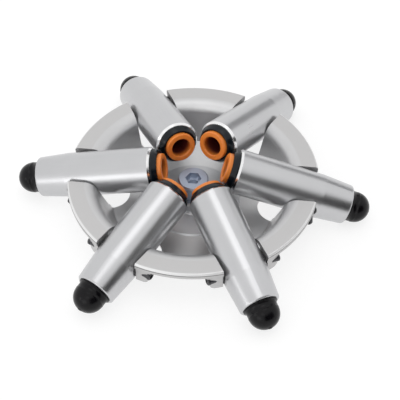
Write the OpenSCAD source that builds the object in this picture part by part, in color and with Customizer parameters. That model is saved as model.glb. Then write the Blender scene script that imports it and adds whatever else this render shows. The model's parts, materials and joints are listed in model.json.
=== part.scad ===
// Six-place swing-out rotor for a small bench centrifuge.
// +Z is the rotor's axis. The origin is on that axis, on the surface that the hub foot stands on.
// Each swinging sleeve is drawn in its own frame: z runs along the sleeve towards its mouth,
// y is its pivot axis and x is up. All sizes are in millimetres.

/* [Layout] */
// Number of swinging sleeves
station_count = 6; // [6]
// Distance from the rotor's axis to each pivot axis
pivot_radius = 83.2; // [83:0.1:86]
// Height of the pivot axes above the foot
pivot_height = 21.5; // [21.3:0.1:23]
// Distance from a pivot axis to the centre of the rubber dome
dome_reach = 34; // [32:0.1:36]

/* [Rotor body] */
// Radius of the flange
rim_r = 89.2; // [88.5:0.1:92]
// Height of the flange's top face
rim_top = 31.8; // [31:0.1:33]
// Thickness of the flange
rim_t = 5.3; // [4.5:0.1:6]
// Radius where the flange's flat top ends and its rounded inner edge starts
flat_end_r = 77.5; // [77:0.1:78]
// Radius of that rounded inner edge
edge_round = 10; // [8:0.5:10.5]
// Radius of the round on the flange's outer top edge
rim_top_round = 1.7; // [1:0.1:2]
// Radius of the round on the flange's outer lower edge
rim_low_round = 0.9; // [0.5:0.1:1.2]
// Slope of the bowl's wall, measured from the floor
wall_slope = 66; // [63:1:68]
// Thickness of the bowl's wall
wall_t = 3; // [2:0.1:3.5]
// Height of the bowl floor's top face
floor_top = 4; // [3.6:0.1:4.4]
// Height of the bowl floor's underside
floor_under = 1.8; // [1.5:0.1:2.2]
// Radius of the foot under the hub
foot_r = 30; // [25:1:33]
// Radius of the machined disc around the hub
disc_r = 33; // [31:0.5:36]
// Height of the machined disc
disc_top = 5; // [4.6:0.1:5.4]
// Radius of the hub boss
boss_r = 13.5; // [12.5:0.5:15]
// Height of the hub boss
boss_top = 13; // [12:0.5:14]

/* [Slots and lugs] */
// Half width of a slot through the wall and the flange
slot_half = 16.2; // [16.2:0.1:17]
// Half width and end radius of a slot through the floor
floor_slot_r = 14.6; // [13:0.1:15]
// Distance from the rotor's axis to the inner end of a floor slot
floor_slot_end = 46.6; // [45:0.1:50]
// Height where the wide part of a slot starts
slot_step = 8; // [7:0.5:10]
// Height of a lug's lower face
lug_under = 14.5; // [13.5:0.1:15]
// Width of a lug across its pivot hole
lug_w = 8.8; // [8.2:0.1:9.4]
// Radius of a lug's lower outer corner
lug_round = 3.5; // [2:0.5:4]
// Extra width of a lug where it meets the flange
lug_flare = 3; // [2:0.1:5]
// Distance from the pivot axis to a lug's inner end
lug_back = 8.5; // [7:0.5:10]

/* [Pivots] */
// Radius of a pivot screw's plain nose
nose_r = 2.5; // [2:0.1:3]
// Radial running clearance between a nose and its bush
nose_play = 0.05; // [0.02:0.01:0.09]
// Radius of a pivot screw's threaded shank
shank_r = 2.7; // [2.6:0.1:2.9]
// Radius of a pivot screw's head
head_r = 3; // [3:0.1:3.3]
// Height of a pivot screw's head
head_h = 2; // [1.8:0.1:2.6]
// Radius of the spot face for a screw head
head_seat_r = 3.4; // [3.4:0.1:4]
// Width across flats of the screws' sockets
screw_key = 3; // [2.5:0.5:3.5]
// Outer radius of a pivot bush
bush_r = 4; // [3.6:0.1:4.2]
// Radius of a pivot bush's flange
bush_flange_r = 5.2; // [4.8:0.1:5.5]

/* [Sleeve] */
// Outer radius of a sleeve
sleeve_r = 15.8; // [15:0.1:16]
// Distance from the pivot axis to a sleeve's mouth
mouth_s = 56.8; // [50:0.1:56.8]
// Inner radius at a sleeve's mouth
mouth_bore_r = 13.6; // [13:0.1:13.8]
// Width of the polished chamfer round a sleeve's mouth
mouth_chamfer = 1.4; // [0.8:0.1:1.6]
// Distance from the pivot axis to the start of a sleeve's taper, towards the tip
taper_s = -6; // [-10:0.5:-5]
// Distance from the pivot axis to a sleeve's outer end, towards the tip
sleeve_end_s = -28.2; // [-29:0.1:-27]
// Radius of a sleeve where its taper ends
sleeve_end_r = 14.2; // [13.8:0.1:14.6]
// Radius of the round on a sleeve's outer end
sleeve_end_round = 1.4; // [0.6:0.1:1.5]
// Radius of a sleeve's narrow lower bore
low_bore_r = 7.95; // [7.9:0.05:8.2]
// Position of the lower bore's bottom
low_bore_s = -16.5; // [-18:0.5:-14]
// Radius of a sleeve's wide upper bore
high_bore_r = 14.9; // [14.5:0.1:15]
// Position of the shoulder between the two bores
shoulder_s = 6; // [6:0.5:8]

/* [Dome, collar and adapter] */
// Radius of the rubber dome
dome_r = 10.9; // [10.5:0.1:11.6]
// Radius of the lip where the dome meets its sleeve
lip_r = 12.2; // [12:0.1:12.3]
// Thickness of that lip
lip_t = 1.1; // [0.8:0.1:1.5]
// Radius of the stem that holds the dome in its sleeve
stem_r = 4; // [3:0.5:5]
// Outer radius of the collar
collar_r = 14.2; // [13.8:0.1:14.2]
// Inner radius of the collar
collar_bore_r = 10.9; // [10.8:0.1:11.1]
// Height of the collar's outer step above the mouth
collar_step = 3.8; // [3.4:0.1:4]
// Height of the collar above the mouth
collar_h = 5.4; // [4.5:0.1:5.4]
// Radius of the adapter's rim
adapter_rim_r = 10.7; // [10.3:0.1:10.7]
// Height of the adapter's rim above the mouth
adapter_h = 7.4; // [6.5:0.1:7.5]
// Outer radius of the adapter's tube
adapter_r = 7.85; // [7.6:0.05:7.9]
// Radius of the tube bore
tube_bore_r = 6.8; // [6.6:0.1:6.9]

/* [Hub] */
// Radius of the shaft bore
shaft_r = 5.1; // [4.6:0.1:5.4]
// Radius of the steel hub bush
hub_bush_r = 9; // [8.5:0.1:9.5]
// Radius of the hub bush's flange
hub_flange_r = 11.5; // [11:0.1:12]
// Thickness of the hub bush's flange
hub_flange_t = 2; // [1.5:0.1:2.5]
// Width of the drive slot under the hub bush
drive_slot_w = 3.2; // [2.5:0.1:3.4]
// Depth of the drive slot
drive_slot_d = 3; // [2:0.1:4]
// Thickness of the washer under the nut
washer_t = 1.2; // [1:0.1:1.5]
// Radius of the clamping nut
nut_r = 11; // [10:0.1:12]
// Height of the clamping nut
nut_h = 11.3; // [10:0.1:12]
// Radius of the nut's threaded bore
nut_bore_r = 4; // [3.5:0.1:4.2]
// Width across flats of the nut's socket
nut_key = 10; // [9:1:12]
// Depth of the nut's socket
nut_socket_d = 6; // [5:0.1:7]

/* [Hidden] */
$fn = 72;
SILVER = "lightgray";
BRIGHT = "gainsboro";
BLACK = "#202022";
ORANGE = "#e8862e";
STEEL = "silver";
CHARCOAL = "#2c2d30";

// How far the tips hang below level at rest, station by station: friction stops each one differently
rest_tilts = [18.1, 18.1, 15, 12.5, 13.2, 15.3];
// The tilt at which a dome touches the table
table_tilt = asin((pivot_height - dome_r) / dome_reach);
station_step = 360 / station_count;
// Small overlap that makes a cut run clear of the face it starts from
clear = 1;
bore_r = nose_r + nose_play;

// Positions across a slot, measured from the sleeve's centre plane
lug_face = slot_half + lug_w;
head_seat = lug_face - 0.3;
spot_face = 14.8;
bush_flange_t = 1.2;
bush_inner = 10.6;
nose_tip = bush_inner + 0.6;

// Section points of the bowl
rim_under = rim_top - rim_t;
wall_top_r = flat_end_r - edge_round * sin(wall_slope);
wall_top_z = rim_top - edge_round * (1 - cos(wall_slope));
wall_skin = wall_t / sin(wall_slope);
inner_fillet = 1.5;
outer_fillet = 3;

// Positions along a sleeve
adapter_top_s = mouth_s + adapter_h;
adapter_rim_h = 4.4;
adapter_skirt_h = 8.6;
tube_round_s = low_bore_s + 1.5 + tube_bore_r;
collar_plug = 3;
mouth_lip = 2;

// Points of an arc in a section
function arc(cx, cy, r, from, to, steps = 6) =
    [for (i = [0 : steps]) let (a = from + (to - from) * i / steps) [cx + r * cos(a), cy + r * sin(a)]];

// Radius of the bowl's inner wall at a height
function wall_r(z) = wall_top_r - (wall_top_z - z) / tan(wall_slope);

// Rest angle of a station, never past the table
function rest_tilt(k) = min(rest_tilts[k - 1], table_tilt);

// ---- frames ----

// Frame of a station on the rotor: origin on the pivot axis, x outwards, y along the pivot
module station(k) {
    rotate([0, 0, station_step * (k - 1)])
        translate([pivot_radius, 0, pivot_height])
            children();
}

// Frame of a sleeve at rest: z towards its mouth, y along the pivot
module swung(k) {
    station(k)
        rotate([0, rest_tilt(k) - 90, 0])
            children();
}

// Places a pin-like shape, drawn along +z from the centre plane, on both sides of a sleeve
module both_sides() {
    for (turn = [-90, 90])
        rotate([turn, 0, 0])
            children();
}

// A ring or disc between two positions
module drum(r, from, to) {
    translate([0, 0, from])
        cylinder(r = r, h = to - from);
}

// Six-sided key socket, opening upwards at the height given
module hex_socket(flats, top, depth) {
    translate([0, 0, top - depth])
        cylinder(r = flats / sqrt(3), h = depth + clear, $fn = 6);
}

// ---- rotor body ----

// Section of the flange, bowl wall, floor, disc and hub boss
module bowl_section() {
    fillet_in = inner_fillet * tan(wall_slope / 2);
    fillet_out = outer_fillet * tan(wall_slope / 2);
    polygon(concat(
        [[hub_bush_r, 0], [foot_r - 1, 0], [foot_r, 1], [foot_r, floor_under]],
        arc(wall_r(floor_under) + wall_skin - fillet_out, floor_under + outer_fillet, outer_fillet,
            -90, wall_slope - 90),
        [[wall_r(rim_under) + wall_skin, rim_under]],
        arc(rim_r - rim_low_round, rim_under + rim_low_round, rim_low_round, -90, 0, 4),
        arc(rim_r - rim_top_round, rim_top - rim_top_round, rim_top_round, 0, 90, 6),
        arc(flat_end_r, rim_top - edge_round, edge_round, 90, 90 + wall_slope, 12),
        arc(wall_r(floor_top) - fillet_in, floor_top + inner_fillet, inner_fillet,
            wall_slope - 90, -90),
        [[disc_r + disc_top - floor_top, floor_top], [disc_r, disc_top]],
        arc(boss_r + 2, disc_top + 2, 2, -90, -180),
        [[boss_r, boss_top - 1], [boss_r - 1, boss_top], [hub_bush_r, boss_top]]
    ));
}

// Lug outline seen along the radius, on the +y side of a slot
module lug_outline() {
    flare_z = pivot_height + 2;
    polygon(concat(
        [[slot_half, lug_under]],
        arc(lug_face - lug_round, lug_under + lug_round, lug_round, -90, 0),
        [[lug_face, flare_z], [lug_face + lug_flare, rim_under],
         [lug_face + lug_flare, rim_under + 1], [slot_half, rim_under + 1]]
    ));
}

module lug_pair(k) {
    rotate([0, 0, station_step * (k - 1)])
        for (side = [0, 1])
            mirror([0, side, 0])
                translate([pivot_radius - lug_back, 0, 0])
                    rotate([90, 0, 90])
                        linear_extrude(rim_r - pivot_radius + lug_back + clear)
                            lug_outline();
}

// Cuts of one station: floor slot, wide upper slot, screw holes and spot faces
module station_cuts(k) {
    rotate([0, 0, station_step * (k - 1)]) {
        translate([floor_slot_end + floor_slot_r, 0, -clear])
            cylinder(r = floor_slot_r, h = slot_step + 2 * clear);
        translate([floor_slot_end + floor_slot_r, -floor_slot_r, -clear])
            cube([rim_r, 2 * floor_slot_r, slot_step + 2 * clear]);
        translate([foot_r + 20, -slot_half, slot_step])
            cube([rim_r, 2 * slot_half, rim_top]);
    }
    station(k)
        both_sides() {
            drum(shank_r, slot_half - clear, head_seat + clear);
            drum(head_seat_r, head_seat, lug_face + lug_flare + 2);
        }
}

module rotor_body() {
    color(SILVER)
        difference() {
            union() {
                rotate_extrude() bowl_section();
                intersection() {
                    union() {
                        for (k = [1 : station_count]) lug_pair(k);
                    }
                    cylinder(r = rim_r - rim_low_round, h = rim_top - 1);
                }
            }
            for (k = [1 : station_count]) station_cuts(k);
        }
}

// ---- hub ----

module hub_bush() {
    color(STEEL)
        difference() {
            union() {
                drum(hub_bush_r, 0, boss_top);
                drum(hub_flange_r, boss_top, boss_top + hub_flange_t);
            }
            drum(shaft_r, -clear, boss_top + hub_flange_t + clear);
            translate([-hub_bush_r - clear, -drive_slot_w / 2, -clear])
                cube([2 * (hub_bush_r + clear), drive_slot_w, drive_slot_d + clear]);
        }
}

module nut_washer() {
    washer_z = boss_top + hub_flange_t;
    color(STEEL)
        difference() {
            drum(hub_flange_r - 1, washer_z, washer_z + washer_t);
            drum(nut_bore_r + 0.4, washer_z - clear, washer_z + washer_t + clear);
        }
}

module clamping_nut() {
    nut_z = boss_top + hub_flange_t + washer_t;
    edge = 1;
    color(STEEL)
        difference() {
            union() {
                drum(nut_r, nut_z, nut_z + nut_h - edge);
                translate([0, 0, nut_z + nut_h - edge])
                    cylinder(r1 = nut_r, r2 = nut_r - edge, h = edge);
            }
            drum(nut_bore_r, nut_z - clear, nut_z + nut_h);
            hex_socket(nut_key, nut_z + nut_h, nut_socket_d);
        }
}

// ---- swinging station ----

// Turned section of a sleeve: tapered outside, stepped bore, lip and chamfer at the mouth
module sleeve_section() {
    polygon(concat(
        [[stem_r, sleeve_end_s]],
        arc(sleeve_end_r - sleeve_end_round, sleeve_end_s + sleeve_end_round, sleeve_end_round, -90, 0, 5),
        [[sleeve_r, taper_s], [sleeve_r, mouth_s - mouth_chamfer], [sleeve_r - mouth_chamfer, mouth_s],
         [mouth_bore_r, mouth_s], [mouth_bore_r, mouth_s - mouth_lip],
         [high_bore_r, mouth_s - mouth_lip - high_bore_r + mouth_bore_r],
         [high_bore_r, shoulder_s + 1], [high_bore_r - 1, shoulder_s],
         [low_bore_r, shoulder_s], [low_bore_r, low_bore_s], [stem_r, low_bore_s]]
    ));
}

module sleeve(k) {
    color(BRIGHT)
        swung(k)
            difference() {
                rotate_extrude() sleeve_section();
                both_sides() {
                    drum(bush_r, bush_inner, sleeve_r + clear);
                    drum(bush_flange_r + 0.2, spot_face, sleeve_r + clear);
                }
            }
}

// Turned section of a cushion: dome, straight neck, lip against the sleeve and stem inside it
module cushion_section() {
    intersection() {
        translate([0, -dome_reach])
            circle(r = dome_r);
        translate([0, -dome_reach - dome_r])
            square(dome_r);
    }
    translate([0, -dome_reach])
        square([dome_r, dome_reach + sleeve_end_s]);
    translate([0, sleeve_end_s - lip_t])
        square([lip_r, lip_t]);
    translate([0, sleeve_end_s])
        square([stem_r, low_bore_s - 1 - sleeve_end_s]);
}

module cushion(k) {
    color(BLACK)
        swung(k)
            rotate_extrude() cushion_section();
}

// The collar narrows above the mouth, so that six of them meet round the hub without touching
module collar_section() {
    inner_step_r = collar_bore_r + 0.9;
    step_s = mouth_s + collar_step;
    top_s = mouth_s + collar_h;
    polygon([
        [collar_bore_r, mouth_s - collar_plug], [mouth_bore_r, mouth_s - collar_plug],
        [mouth_bore_r, mouth_s], [collar_r, mouth_s], [collar_r, mouth_s + 1.2],
        [collar_r - 1.3, step_s - 0.4], [collar_r - 1.7, step_s],
        [inner_step_r, step_s], [inner_step_r, top_s - 0.3],
        [inner_step_r - 0.3, top_s], [collar_bore_r, top_s]
    ]);
}

module collar(k) {
    color(BLACK)
        swung(k)
            rotate_extrude() collar_section();
}

// Section of the adapter: thick rim, thin skirt inside the collar and a long blind tube
module adapter_section() {
    rim_round = 0.8;
    rim_low_s = adapter_top_s - adapter_rim_h;
    skirt_s = rim_low_s - adapter_skirt_h;
    skirt_t = 1;
    polygon(concat(
        [[0, low_bore_s], [adapter_r, low_bore_s], [adapter_r, rim_low_s],
         [adapter_rim_r - skirt_t, rim_low_s], [adapter_rim_r - skirt_t, skirt_s],
         [adapter_rim_r, skirt_s]],
        arc(adapter_rim_r - rim_round, adapter_top_s - rim_round, rim_round, 0, 90, 4),
        [[tube_bore_r + 0.7, adapter_top_s], [tube_bore_r, adapter_top_s - 0.7],
         [tube_bore_r, tube_round_s], [0, tube_round_s]]
    ));
}

module adapter(k) {
    color(ORANGE)
        swung(k)
            difference() {
                rotate_extrude() adapter_section();
                translate([0, 0, tube_round_s])
                    sphere(r = tube_bore_r);
            }
}

module pivot_bushes(k) {
    color(CHARCOAL)
        swung(k)
            both_sides()
                difference() {
                    union() {
                        drum(bush_r, bush_inner, spot_face);
                        drum(bush_flange_r, spot_face, spot_face + bush_flange_t);
                    }
                    drum(bore_r, bush_inner - clear, spot_face + bush_flange_t + clear);
                }
}

module pivot_screws(k) {
    color(BLACK)
        station(k)
            both_sides()
                difference() {
                    union() {
                        drum(nose_r, nose_tip, slot_half);
                        drum(shank_r, slot_half, head_seat);
                        drum(head_r, head_seat, head_seat + head_h - 0.5);
                        translate([0, 0, head_seat + head_h - 0.5])
                            cylinder(r1 = head_r, r2 = head_r - 0.5, h = 0.5);
                    }
                    hex_socket(screw_key, head_seat + head_h, 1.6);
                }
}

rotor_body();
hub_bush();
nut_washer();
clamping_nut();
for (k = [1 : station_count]) {
    sleeve(k);
    cushion(k);
    collar(k);
    adapter(k);
    pivot_bushes(k);
    pivot_screws(k);
}
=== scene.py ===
"""Looks of a six-place swing-out rotor: finishes, rubber cushions, turned collars, studio and camera.

Everything is in metres in the CAD frame. +Z is the rotor's axis, and station 1 points along +X.
Each swinging sleeve also has a frame of its own: z runs along it towards its mouth, y is its pivot's axis.
Angles are in degrees, colours are linear RGBA, and the scales of noise are per metre.
"""
import json
import math

import bmesh
import bpy
from mathutils import Euler, Matrix, Vector


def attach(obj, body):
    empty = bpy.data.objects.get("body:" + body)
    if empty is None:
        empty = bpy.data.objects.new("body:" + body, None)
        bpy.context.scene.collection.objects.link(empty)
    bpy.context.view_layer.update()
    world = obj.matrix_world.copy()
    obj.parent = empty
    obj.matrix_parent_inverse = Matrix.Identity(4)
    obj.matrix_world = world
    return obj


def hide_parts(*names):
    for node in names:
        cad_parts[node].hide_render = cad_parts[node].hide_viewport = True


MM = 0.001
STATIONS = range(1, 7)
LATHE_SIDES = 96

# Camera, fitted to the rim, the sleeves and the domes. The lens and the sensor are in millimetres
CAMERA_DISTANCE = 808.3 * MM
CAMERA_ELEVATION = 49.34
CAMERA_AZIMUTH = 6.59
CAMERA_YAW = 0.34
CAMERA_PITCH = 0.11
CAMERA_ROLL = -0.19
LENS = 99.88
SENSOR = 36.0
TARGET_HEIGHT = 1.3 * MM
FAR_CLIP = 50.0

# Sizes of the sleeve stack. A name in S is a place along the sleeve from its pivot, towards the mouth
MOUTH_S = 56.8 * MM
SLEEVE_END_S = -28.2 * MM
DOME_S = -34 * MM
MOUTH_BORE_R = 13.6 * MM
MOUTH_CHAMFER = 1.4 * MM
DOME_R = 10.9 * MM
LIP_R = 12.2 * MM
LIP_T = 1.1 * MM
COLLAR_R = 14.2 * MM
COLLAR_BORE_R = 10.9 * MM
COLLAR_PLUG = 3 * MM
COLLAR_RISE = 4.6 * MM
ADAPTER_TOP_S = 64.2 * MM
TUBE_BORE_R = 6.8 * MM

# The floor and the cards. Two sleeves' lower edges reach as far below the foot as the floor lies
FLOOR_HEIGHT = -0.4 * MM
FLOOR_RADIUS = 6.0
FLOOR_SIDES = 96
FLOOR_GREY = (0.27, 0.27, 0.27, 1)
FLOOR_GLOW = 0.77
MATT = 0.9

# Sizes of the rotor body and the nut
RIM_TOP = 31.8 * MM
RIM_R = 89.2 * MM
FLAT_END_R = 77.5 * MM
EDGE_ROUND = 10 * MM
WALL_SLOPE = 66
WALL_TOP_DEPTH = EDGE_ROUND * (1 - math.cos(math.radians(WALL_SLOPE)))
# Place of the painted shade line under the round of the outer edge
RIM_LINE_DEPTH = 2.4 * MM
RIM_LINE_T = 0.5 * MM
DISC_R = 33 * MM
NUT_TOP = 27.5 * MM
SOCKET_R = 5.9 * MM

# Colours of the rotor body
FLANGE_GREY = (0.585, 0.58, 0.58, 1)
# Painted light in the bowl: the turned wall and floor are painted lighter than the flange
BOWL_PAINTED_LIGHT_GREY = (0.70, 0.70, 0.705, 1)
DISC_GREY = (0.58, 0.585, 0.60, 1)
# Painted light at the foot of the rounded inner edge, fading to the next grey up the round
ROUND_FOOT_PAINTED_LIGHT = (0.80, 0.80, 0.805, 1)
ROUND_HIGH_GREY = (0.60, 0.60, 0.605, 1)
# A painted shade line under the round of the outer edge, and a painted highlight on that round
RIM_SHADE_LINE_GREY = (0.10, 0.10, 0.10, 1)
RIM_PAINTED_HIGHLIGHT_GREY = (0.80, 0.80, 0.80, 1)

# Colours of the other pieces. A pair is the range that a cloudy tone runs through
SLEEVE_GREY = (0.560, 0.562, 0.572, 1)
POLISHED_GREY = (0.86, 0.86, 0.865, 1)
RUBBER_TONES = ((0.0020, 0.0018, 0.0025, 1), (0.0042, 0.0038, 0.0048, 1))
COLLAR_TONES = ((0.0025, 0.0045, 0.0075, 1), (0.0045, 0.0075, 0.011, 1))
BUSH_TONES = ((0.018, 0.018, 0.020, 1), (0.030, 0.030, 0.033, 1))
ORANGE_TONES = ((0.76, 0.215, 0.030, 1), (0.86, 0.265, 0.044, 1))
# Painted shade that deepens down the adapters' bores
TUBE_BORE_PAINTED_SHADE = (0.100, 0.016, 0.014, 1)
HUB_BLUE_GREY = (0.36, 0.405, 0.49, 1)
# Painted light in the nut's socket, lighter than the nut's face
SOCKET_PAINTED_LIGHT_GREY = (0.55, 0.60, 0.69, 1)
SCREW_GREY = (0.09, 0.09, 0.095, 1)


# ---- shader graphs ----

class Graph:
    """A material's node tree, built by short calls. An input is a number, a colour or a socket."""

    def __init__(self, name):
        self.material = bpy.data.materials.new(name)
        self.material.use_nodes = True
        self.tree = self.material.node_tree
        self.tree.nodes.clear()

    def node(self, kind, inputs=None, **settings):
        made = self.tree.nodes.new(kind)
        for key, value in settings.items():
            setattr(made, key, value)
        for key, value in (inputs or {}).items():
            socket = made.inputs[key]
            if isinstance(value, bpy.types.NodeSocket):
                self.tree.links.new(value, socket)
            else:
                socket.default_value = value
        return made

    def math(self, operation, a, b):
        return self.node("ShaderNodeMath", {0: a, 1: b}, operation=operation).outputs[0]

    def smooth(self, value, low, high):
        """0 below low, 1 above high, and a smooth step between. With low above high it falls."""
        return self.node("ShaderNodeMapRange", {"Value": value, "From Min": low, "From Max": high},
                         interpolation_type="SMOOTHSTEP").outputs["Result"]

    def between(self, value, low, high, soft):
        """1 between low and high, falling to 0 over the distance soft."""
        rise = self.smooth(value, low - soft, low + soft)
        fall = self.smooth(value, high + soft, high - soft)
        return self.math("MULTIPLY", rise, fall)

    def noise(self, vector, scale, detail, roughness=0.5):
        return self.node("ShaderNodeTexNoise", {"Vector": vector, "Scale": scale, "Detail": detail,
                                                "Roughness": roughness}).outputs["Fac"]

    def scaled(self, vector, factors):
        return self.node("ShaderNodeVectorMath", {0: vector, 1: factors}, operation="MULTIPLY").outputs[0]

    def swing(self, value, low, high):
        """Maps a noise value from 0.25..0.75 to low..high."""
        return self.node("ShaderNodeMapRange", {"Value": value, "From Min": 0.25, "From Max": 0.75,
                                                "To Min": low, "To Max": high}).outputs["Result"]

    def mix(self, factor, a, b):
        """Mixes two numbers."""
        made = self.node("ShaderNodeMix", {"Factor": factor, "A": a, "B": b}, data_type="FLOAT")
        return made.outputs["Result"]

    def tint(self, colour, gain):
        """Multiplies a colour by a number."""
        grey = self.node("ShaderNodeCombineColor", {"Red": gain, "Green": gain, "Blue": gain}).outputs[0]
        made = self.node("ShaderNodeMix", data_type="RGBA", blend_type="MULTIPLY")
        made.inputs["Factor"].default_value = 1.0
        self.join(colour, made.inputs[6])
        self.join(grey, made.inputs[7])
        return made.outputs[2]

    def cloudy(self, noise, tones):
        """A colour that a noise value moves between two tones."""
        return self.blend(self.swing(noise, 0.0, 1.0), *tones)

    def blend(self, factor, a, b):
        """Mixes two colours."""
        made = self.node("ShaderNodeMix", data_type="RGBA")
        self.join(factor, made.inputs[0])
        self.join(a, made.inputs[6])
        self.join(b, made.inputs[7])
        return made.outputs[2]

    def join(self, value, socket):
        if isinstance(value, bpy.types.NodeSocket):
            self.tree.links.new(value, socket)
        else:
            socket.default_value = value

    def object_place(self):
        return self.node("ShaderNodeTexCoord").outputs["Object"]

    def place_in(self, frame_matrix):
        """Position in the frame given by a rotation and an origin."""
        return self.node("ShaderNodeMapping", {
            "Vector": self.object_place(), "Location": frame_matrix.to_translation(),
            "Rotation": frame_matrix.to_euler()}, vector_type="TEXTURE").outputs[0]

    def cylindrical(self, place):
        """Distance from the z axis and position along it."""
        split = self.node("ShaderNodeSeparateXYZ", {0: place})
        flat = self.scaled(place, (1.0, 1.0, 0.0))
        length = self.node("ShaderNodeVectorMath", {0: flat}, operation="LENGTH").outputs["Value"]
        return length, split.outputs["Z"]

    def tool_marks(self, value, period):
        """Noise that changes along one value only, as the marks of a turning tool do."""
        return self.node("ShaderNodeTexNoise", {"W": self.math("DIVIDE", value, period), "Scale": 1.0,
                                                "Detail": 3.0}, noise_dimensions="1D").outputs["Fac"]

    def bump(self, height, depth, normal=None):
        """depth is the height in metres of a step from 0 to 1."""
        inputs = {"Height": height, "Distance": depth, "Strength": 1.0}
        if normal is not None:
            inputs["Normal"] = normal
        return self.node("ShaderNodeBump", inputs).outputs[0]

    def soft_edges(self, radius):
        return self.node("ShaderNodeBevel", {"Radius": radius}, samples=6).outputs[0]

    def edge_mask(self, radius):
        """1 on convex and concave edges within the radius, 0 on open faces."""
        flat = self.node("ShaderNodeNewGeometry").outputs["Normal"]
        dot = self.node("ShaderNodeVectorMath", {0: flat, 1: self.soft_edges(radius)},
                        operation="DOT_PRODUCT").outputs["Value"]
        open_face = 0.995
        sharp_edge = 0.88
        return self.smooth(dot, open_face, sharp_edge)

    def finish(self, colour, roughness, normal=None, **constants):
        """Ends the tree in one Principled shader. The constants are set on its own sockets."""
        shader = self.node("ShaderNodeBsdfPrincipled")
        self.join(colour, shader.inputs["Base Color"])
        self.join(roughness, shader.inputs["Roughness"])
        if normal is not None:
            self.join(normal, shader.inputs["Normal"])
        for key, value in constants.items():
            shader.inputs[key.replace("_", " ")].default_value = value
        self.node("ShaderNodeOutputMaterial", {"Surface": shader.outputs[0]})
        return self.material


# ---- frames ----

def station_frames(frame):
    """Each station's frame at rest, from its joint: pivot, pivot axis and rest angle."""
    frames = {}
    for joint in frame["joints"]:
        station = int(joint["name"].split("_")[1])
        tilt = -math.radians(joint["range_deg"][0])
        turn = math.atan2(-joint["axis"][0], joint["axis"][1])
        spin = Euler((0.0, tilt - math.pi / 2, turn)).to_matrix().to_4x4()
        frames[station] = Matrix.Translation(Vector(joint["pos_m"])) @ spin
    return frames


# ---- materials ----

def rotor_colour(g, radius, height, turned):
    """Flange, bowl, disc and rounded inner edge, with painted light in the bowl and at the foot of the round,
    and a dark line of painted shade under the round of the outer edge.

    turned is 1 on the turned inside and 0 on the blasted flange. The line and the pale round over it, a
    painted highlight, are kept to the outer side, so that they don't run across the flange.
    """
    round_foot = RIM_TOP - WALL_TOP_DEPTH
    on_disc = g.smooth(radius, DISC_R + 2 * MM, DISC_R - 1 * MM)
    on_round = g.smooth(height, round_foot - 0.4 * MM, round_foot + 0.4 * MM)
    up_the_round = g.smooth(height, round_foot + 1.5 * MM, RIM_TOP - 0.3 * MM)
    # The bowl's lighter grey is painted light.
    inside = g.blend(on_disc, BOWL_PAINTED_LIGHT_GREY, DISC_GREY)
    # Painted light: the foot of the rounded inner edge is made lighter, fading back to a flange-like grey up
    # the round.
    inside = g.blend(on_round, inside, ROUND_FOOT_PAINTED_LIGHT)
    inside = g.blend(up_the_round, inside, ROUND_HIGH_GREY)
    colour = g.blend(turned, FLANGE_GREY, inside)
    # Painted shade: a dark line on the outer side, under the round of the outer edge.
    line_low = RIM_TOP - RIM_LINE_DEPTH
    in_shade_line = g.math("MULTIPLY", g.smooth(radius, RIM_R - 1.2 * MM, RIM_R - 0.6 * MM),
                     g.between(height, line_low, line_low + RIM_LINE_T, 0.15 * MM))
    # Painted highlight: a pale band on the round of the outer edge, over the line.
    on_rim_highlight = g.math("MULTIPLY", g.smooth(radius, RIM_R - 1.5 * MM, RIM_R - 0.9 * MM),
                       g.smooth(height, RIM_TOP - 1.7 * MM, RIM_TOP - 1.2 * MM))
    colour = g.blend(in_shade_line, colour, RIM_SHADE_LINE_GREY)
    return g.blend(on_rim_highlight, colour, RIM_PAINTED_HIGHLIGHT_GREY)


def rotor_alloy():
    """Blasted aluminium flange, with a finer turned finish on the rounded inner edge, wall and floor."""
    g = Graph("rotor_alloy")
    place = g.object_place()
    radius, height = g.cylindrical(place)
    turned = g.smooth(radius, FLAT_END_R + 0.4 * MM, FLAT_END_R - 0.8 * MM)
    edge = g.edge_mask(0.35 * MM)
    grain = g.noise(place, scale=3200.0, detail=3.0, roughness=0.6)
    mottle = g.noise(place, scale=90.0, detail=4.0, roughness=0.55)
    rings = g.tool_marks(g.math("ADD", radius, height), 0.35 * MM)
    gain = g.math("MULTIPLY", g.swing(mottle, 0.985, 1.015), g.swing(grain, 0.975, 1.025))
    gain = g.math("MULTIPLY", gain, g.mix(turned, 1.0, g.swing(rings, 0.98, 1.02)))
    # Painted highlight: edges are made 8% lighter.
    gain = g.math("MULTIPLY", gain, g.mix(edge, 1.0, 1.08))
    rough = g.mix(turned, g.swing(mottle, 0.52, 0.58), g.swing(rings, 0.42, 0.48))
    rough = g.mix(edge, rough, 0.3)
    normal = g.soft_edges(0.35 * MM)
    normal = g.bump(grain, 0.010 * MM, normal)
    normal = g.bump(g.math("MULTIPLY", rings, turned), 0.003 * MM, normal)
    return g.finish(g.tint(rotor_colour(g, radius, height, turned), gain), rough, normal, Metallic=1.0)


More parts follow.
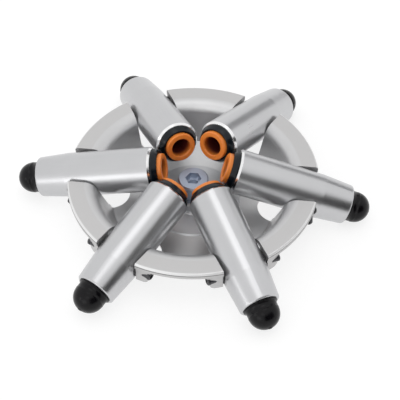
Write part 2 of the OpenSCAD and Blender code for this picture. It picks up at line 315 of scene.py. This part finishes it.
def sleeve_alloy(station, place_frame):
    """Satin aluminium: fine turning rings, lengthwise handling streaks and a polished mouth."""
    g = Graph(f"sleeve_alloy_{station}")
    place = g.place_in(place_frame)
    own_shift = (0.0, 0.0, 0.37 * station)  # metres, so that no two sleeves have the same streaks
    lengthwise = (1.0, 1.0, 0.035)
    shifted = g.node("ShaderNodeVectorMath", {0: place, 1: own_shift}, operation="ADD").outputs[0]
    radius, along = g.cylindrical(place)
    chamfer_s = MOUTH_S - MOUTH_CHAMFER
    chamfer = g.math("MULTIPLY", g.smooth(along, chamfer_s - 0.1 * MM, chamfer_s),
                     g.smooth(radius, MOUTH_BORE_R - 0.3 * MM, MOUTH_BORE_R - 0.1 * MM))
    edge = g.edge_mask(0.3 * MM)
    rings = g.tool_marks(along, 0.28 * MM)
    streaks = g.noise(g.scaled(shifted, lengthwise), scale=620.0, detail=3.0, roughness=0.6)
    cloud = g.noise(shifted, scale=55.0, detail=3.0)
    grain = g.noise(shifted, scale=4200.0, detail=2.0, roughness=0.6)
    gain = g.math("MULTIPLY", g.swing(rings, 0.99, 1.01), g.swing(streaks, 0.985, 1.015))
    gain = g.math("MULTIPLY", gain, g.swing(cloud, 0.98, 1.02))
    # Painted highlight: edges are made 10% lighter.
    gain = g.math("MULTIPLY", gain, g.mix(edge, 1.0, 1.1))
    base = g.blend(chamfer, SLEEVE_GREY, POLISHED_GREY)
    rough = g.math("ADD", g.swing(cloud, 0.28, 0.32), g.swing(streaks, -0.015, 0.015))
    rough = g.mix(chamfer, rough, 0.2)
    normal = g.soft_edges(0.25 * MM)
    normal = g.bump(rings, 0.0012 * MM, normal)
    normal = g.bump(grain, 0.0012 * MM, normal)
    return g.finish(g.tint(base, gain), rough, normal, Metallic=1.0)


def dome_rubber():
    """Moulded black rubber with a fine skin and a faint bloom."""
    g = Graph("dome_rubber")
    place = g.object_place()
    skin = g.noise(place, scale=2600.0, detail=3.0, roughness=0.6)
    bloom = g.noise(place, scale=120.0, detail=4.0, roughness=0.6)
    rough = g.math("ADD", g.swing(bloom, 0.22, 0.28), g.swing(skin, -0.03, 0.03))
    normal = g.bump(skin, 0.01 * MM, g.soft_edges(0.25 * MM))
    return g.finish(g.cloudy(bloom, RUBBER_TONES), rough, normal, IOR=1.29)


def collar_plastic():
    """Near-black, slightly blue turned plastic."""
    g = Graph("collar_plastic")
    place = g.object_place()
    grain = g.noise(place, scale=3000.0, detail=2.0)
    cloud = g.noise(place, scale=160.0, detail=3.0)
    rough = g.math("ADD", g.swing(cloud, 0.20, 0.27), g.swing(grain, -0.02, 0.02))
    normal = g.bump(grain, 0.004 * MM, g.soft_edges(0.25 * MM))
    return g.finish(g.cloudy(cloud, COLLAR_TONES), rough, normal, IOR=1.36)


def bush_plastic():
    """Charcoal bearing plastic with a fine grain."""
    g = Graph("bush_plastic")
    place = g.object_place()
    grain = g.noise(place, scale=2600.0, detail=2.0)
    cloud = g.noise(place, scale=240.0, detail=3.0)
    rough = g.math("ADD", g.swing(cloud, 0.34, 0.44), g.swing(grain, -0.02, 0.02))
    normal = g.bump(grain, 0.004 * MM, g.soft_edges(0.15 * MM))
    return g.finish(g.cloudy(cloud, BUSH_TONES), rough, normal, IOR=1.5)


def adapter_plastic(station, place_frame):
    """Orange moulded plastic that lets a little light through, with painted shade down its bore."""
    g = Graph(f"adapter_plastic_{station}")
    place = g.place_in(place_frame)
    radius, along = g.cylindrical(place)
    grain = g.noise(place, scale=2200.0, detail=2.0)
    cloud = g.noise(place, scale=130.0, detail=3.0)
    inside = g.smooth(radius, TUBE_BORE_R + 1.2 * MM, TUBE_BORE_R + 0.5 * MM)
    # Painted shade: the bore darkens with depth, fully by 7.5 mm below the adapter's top.
    depth = g.math("MULTIPLY", inside, g.smooth(along, ADAPTER_TOP_S + 1 * MM, ADAPTER_TOP_S - 7.5 * MM))
    base = g.blend(depth, g.cloudy(cloud, ORANGE_TONES), TUBE_BORE_PAINTED_SHADE)
    rough = g.math("ADD", g.swing(cloud, 0.34, 0.42), g.swing(grain, -0.02, 0.02))
    normal = g.bump(grain, 0.005 * MM, g.soft_edges(0.3 * MM))
    return g.finish(base, rough, normal, IOR=1.49, Subsurface_Weight=0.06, Subsurface_Scale=0.6 * MM)


def turned_steel(name, base, rough_low, rough_high, socket_painted_light=None):
    """Turned metal, fine rings round the rotor's axis, painted edge highlights. The nut's socket may get
    painted light.
    """
    g = Graph(name)
    place = g.object_place()
    radius, height = g.cylindrical(place)
    rings = g.tool_marks(g.math("ADD", radius, height), 0.22 * MM)
    cloud = g.noise(place, scale=300.0, detail=3.0)
    edge = g.edge_mask(0.25 * MM)
    # Painted highlight: edges are made 20% lighter.
    gain = g.math("MULTIPLY", g.swing(rings, 0.96, 1.04), g.mix(edge, 1.0, 1.2))
    if socket_painted_light:
        # Painted light: the nut's socket is given a lighter tone, against the shade in it.
        in_socket = g.math("MULTIPLY", g.smooth(radius, SOCKET_R + 0.1 * MM, SOCKET_R),
                           g.smooth(height, NUT_TOP - 0.2 * MM, NUT_TOP - 0.4 * MM))
        base = g.blend(in_socket, base, socket_painted_light)
    rough = g.math("ADD", g.swing(cloud, rough_low, rough_high), g.swing(rings, -0.04, 0.04))
    normal = g.bump(rings, 0.005 * MM, g.soft_edges(0.2 * MM))
    return g.finish(g.tint(base, gain), rough, normal, Metallic=1.0)


def dress_nodes(frame, frames):
    """Gives every CAD node its finish, except the cushions and collars, which turned pieces replace."""
    rotor = rotor_alloy()
    steel = turned_steel("hub_steel", HUB_BLUE_GREY, rough_low=0.36, rough_high=0.46,
                         socket_painted_light=SOCKET_PAINTED_LIGHT_GREY)
    screw = turned_steel("screw_steel", SCREW_GREY, rough_low=0.32, rough_high=0.45)
    bush = bush_plastic()
    finishes = {"rotor_body": rotor, "hub_bush": steel, "nut_washer": steel, "clamping_nut": steel}
    for k in STATIONS:
        finishes[f"sleeve_{k}"] = sleeve_alloy(k, frames[k])
        finishes[f"adapter_{k}"] = adapter_plastic(k, frames[k])
        finishes[f"pivot_bushes_{k}"] = bush
        finishes[f"pivot_screws_{k}"] = screw
    for name, material in finishes.items():
        for slot in frame["nodes"][name].material_slots:
            slot.material = material


# ---- rubber cushions and collars ----

def arc(centre_r, centre_s, radius, start, end, steps):
    """Points of an arc in a turned section."""
    turn = [math.radians(start + (end - start) * i / steps) for i in range(steps + 1)]
    return [(centre_r + radius * math.cos(a), centre_s + radius * math.sin(a)) for a in turn]


def cushion_profile():
    """Section of a rubber cushion: gate mark, dome, mould line, neck and rounded lip."""
    gate_r = 1.5 * MM
    gate_t = 0.25 * MM
    seam = 0.12 * MM
    seam_angle = -1.2
    neck_relief = 0.5 * MM
    lip_inner_r = LIP_R - 3 * MM
    round_r = LIP_T / 2
    tip = DOME_S - DOME_R
    dome_start = -90 + math.degrees(math.asin((gate_r + gate_t) / DOME_R))
    points = [(0.0, tip - gate_t), (gate_r - gate_t, tip - gate_t), (gate_r, tip)]
    points += arc(0.0, DOME_S, DOME_R, dome_start, seam_angle, steps=36)
    points += [(DOME_R + seam, DOME_S - seam), (DOME_R + seam, DOME_S + seam), (DOME_R, DOME_S + 2 * seam)]
    points += [(DOME_R, SLEEVE_END_S - LIP_T - neck_relief)]
    points += arc(LIP_R - round_r, SLEEVE_END_S - round_r, round_r, -90, 90, steps=8)
    points += [(lip_inner_r, SLEEVE_END_S)]
    return points


def turned_mesh(name, points, ring):
    """A lathe mesh round the z axis: a ring, or a solid whose section starts on the axis."""
    bm = bmesh.new()
    rings = []
    for radius, along in points:
        if radius == 0.0:
            rings.append([bm.verts.new((0.0, 0.0, along))])
            continue
        turns = [math.radians(360 * i / LATHE_SIDES) for i in range(LATHE_SIDES)]
        rings.append([bm.verts.new((radius * math.cos(a), radius * math.sin(a), along)) for a in turns])
    pairs = list(zip(rings, rings[1:]))
    if ring:
        pairs.append((rings[-1], rings[0]))
    for low, high in pairs:
        for i in range(LATHE_SIDES):
            j = (i + 1) % LATHE_SIDES
            if len(low) == 1:
                bm.faces.new((low[0], high[j], high[i]))
            else:
                bm.faces.new((low[i], low[j], high[j], high[i]))
    if not ring:
        bm.faces.new(rings[-1])
    bmesh.ops.recalc_face_normals(bm, faces=bm.faces)
    mesh = bpy.data.meshes.new(name)
    bm.to_mesh(mesh)
    bm.free()
    mesh.shade_smooth()
    return mesh


def collar_profile():
    """Section of a collar: plug in the mouth, rounded flank that leans inwards and rounded lip."""
    top = MOUTH_S + COLLAR_RISE
    flank = 30
    low_round = 1.0 * MM
    low_round_s = MOUTH_S + 0.8 * MM
    high_round = 0.8 * MM
    lip_round = 0.5 * MM
    low = arc(COLLAR_R - low_round, low_round_s, low_round, 0, flank, steps=4)
    climb = top - high_round * (1 - math.sin(math.radians(flank))) - low[-1][1]
    high_r = low[-1][0] - climb * math.tan(math.radians(flank)) - high_round * math.cos(math.radians(flank))
    points = [(COLLAR_BORE_R, MOUTH_S - COLLAR_PLUG), (MOUTH_BORE_R, MOUTH_S - COLLAR_PLUG),
              (MOUTH_BORE_R, MOUTH_S), (COLLAR_R, MOUTH_S)]
    points += low
    points += arc(high_r, top - high_round, high_round, flank, 90, steps=6)
    points += arc(COLLAR_BORE_R + lip_round, top - lip_round, lip_round, 90, 180, steps=5)
    return points


def turned_pieces(frames, name, node, material, points, ring=False):
    """One lathe-turned piece to a station, in place of the plain CAD solid of that node."""
    for k in STATIONS:
        mesh = turned_mesh(f"{name}_{k}", points, ring)
        mesh.transform(frames[k])
        mesh.materials.append(material)
        piece = bpy.data.objects.new(f"{name}_{k}", mesh)
        bpy.context.scene.collection.objects.link(piece)
        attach(piece, f"station_{k}")
        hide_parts(f"{node}_{k}")


# ---- studio ----

def direction(azimuth, elevation):
    """Unit vector towards a place in the studio; azimuth 0 is +X and 90 is +Y."""
    turn = math.radians(azimuth)
    rise = math.radians(elevation)
    return Vector((math.cos(rise) * math.cos(turn), math.cos(rise) * math.sin(turn), math.sin(rise)))


def facing_centre(place):
    """Rotation that turns a panel's or lamp's -z side to the rotor."""
    return (-place).to_track_quat("-Z", "Y").to_euler()


def white_world():
    world = bpy.data.worlds.new("white_studio")
    world.use_nodes = True
    back = world.node_tree.nodes["Background"]
    back.inputs["Color"].default_value = (1.0, 1.0, 1.0, 1.0)
    back.inputs["Strength"].default_value = 1.0
    bpy.context.scene.world = world


def soft_box(name, azimuth, elevation, distance, width, height, radiance):
    """An area lamp of a given radiance, aimed at the rotor. Its power is radiance times pi times its area."""
    lamp = bpy.data.lights.new(name, "AREA")
    lamp.shape = "ELLIPSE"
    lamp.size = width
    lamp.size_y = height
    lamp.energy = radiance * math.pi * (math.pi / 4 * width * height)
    box = bpy.data.objects.new(name, lamp)
    box.location = direction(azimuth, elevation) * distance
    box.rotation_euler = facing_centre(box.location)
    bpy.context.scene.collection.objects.link(box)


def grey_card(name, azimuth, elevation, distance, width, height, level):
    """A plain, very slightly blue studio card that the metal reflects; the camera doesn't see it."""
    g = Graph(name)
    g.finish((level, level, level * 1.04, 1), MATT)
    bpy.ops.mesh.primitive_plane_add(size=1.0)
    card = bpy.context.object
    card.name = name
    card.scale = (width, height, 1.0)
    card.location = direction(azimuth, elevation) * distance
    card.rotation_euler = facing_centre(card.location)
    card.visible_camera = False
    card.data.materials.append(g.material)


def white_floor():
    """A plain pale floor that keeps the object's shadow and reads as white."""
    g = Graph("white_floor")
    path = g.node("ShaderNodeLightPath")
    seen = g.math("MAXIMUM", path.outputs["Is Camera Ray"], path.outputs["Is Glossy Ray"])
    seen = g.math("MAXIMUM", seen, path.outputs["Is Transmission Ray"])
    shader = g.node("ShaderNodeBsdfPrincipled", {
        "Base Color": FLOOR_GREY, "Roughness": MATT, "Specular IOR Level": 0.0,
        "Emission Color": (1.0, 1.0, 1.0, 1), "Emission Strength": g.math("MULTIPLY", seen, FLOOR_GLOW)})
    g.node("ShaderNodeOutputMaterial", {"Surface": shader.outputs[0]})
    bpy.ops.mesh.primitive_circle_add(vertices=FLOOR_SIDES, radius=FLOOR_RADIUS, fill_type="NGON",
                                      location=(0.0, 0.0, FLOOR_HEIGHT))
    floor = bpy.context.object
    floor.name = "floor"
    floor.data.materials.append(g.material)


def studio():
    white_world()
    white_floor()
    soft_box("overhead_box", azimuth=0, elevation=90, distance=2.0, width=1.1, height=1.1, radiance=0.9)
    soft_box("front_left_box", azimuth=-116, elevation=13, distance=2.0, width=1.0, height=0.8, radiance=1.2)
    soft_box("camera_box", azimuth=-97, elevation=46, distance=2.2, width=0.9, height=0.6, radiance=0.8)
    soft_box("highlight_box", azimuth=-147, elevation=14, distance=2.0, width=0.35, height=0.35, radiance=3.0)
    grey_card("dark_card", azimuth=-45, elevation=17, distance=2.2, width=2.8, height=2.0, level=0.012)
    grey_card("side_card", azimuth=60, elevation=22, distance=2.2, width=0.9, height=0.7, level=0.35)


# ---- camera ----

def camera():
    lens = bpy.data.cameras.new("camera")
    lens.lens = LENS
    lens.sensor_width = SENSOR
    lens.sensor_fit = "HORIZONTAL"
    lens.clip_end = FAR_CLIP
    body = bpy.data.objects.new("camera", lens)
    turn = Matrix.Rotation(math.radians(CAMERA_AZIMUTH), 4, "Z")
    back = math.radians(CAMERA_ELEVATION)
    place = Vector((0.0, -math.cos(back), math.sin(back))) * CAMERA_DISTANCE
    place.z += TARGET_HEIGHT
    aim = Matrix.Rotation(math.pi / 2 - back, 4, "X")
    for angle, axis in ((-CAMERA_YAW, "Y"), (CAMERA_PITCH, "X"), (CAMERA_ROLL, "Z")):
        aim = aim @ Matrix.Rotation(math.radians(angle), 4, axis)
    body.matrix_world = turn @ Matrix.Translation(place) @ aim
    bpy.context.scene.collection.objects.link(body)
    bpy.context.scene.camera = body


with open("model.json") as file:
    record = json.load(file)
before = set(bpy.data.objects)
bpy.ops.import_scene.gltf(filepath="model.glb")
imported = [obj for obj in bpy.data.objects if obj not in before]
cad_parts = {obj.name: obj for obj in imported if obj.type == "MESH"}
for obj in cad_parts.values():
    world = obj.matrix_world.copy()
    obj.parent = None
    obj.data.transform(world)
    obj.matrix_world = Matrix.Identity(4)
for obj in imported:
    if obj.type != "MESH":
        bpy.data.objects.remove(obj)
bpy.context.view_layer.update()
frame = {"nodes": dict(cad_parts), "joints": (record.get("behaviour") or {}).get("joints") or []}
frames = station_frames(frame)
camera()
studio()
dress_nodes(frame, frames)
turned_pieces(frames, "rubber_cushion", "cushion", dome_rubber(), cushion_profile())
turned_pieces(frames, "turned_collar", "collar", collar_plastic(), collar_profile(),
              ring=True)
bpy.context.scene.view_settings.view_transform = "Standard"
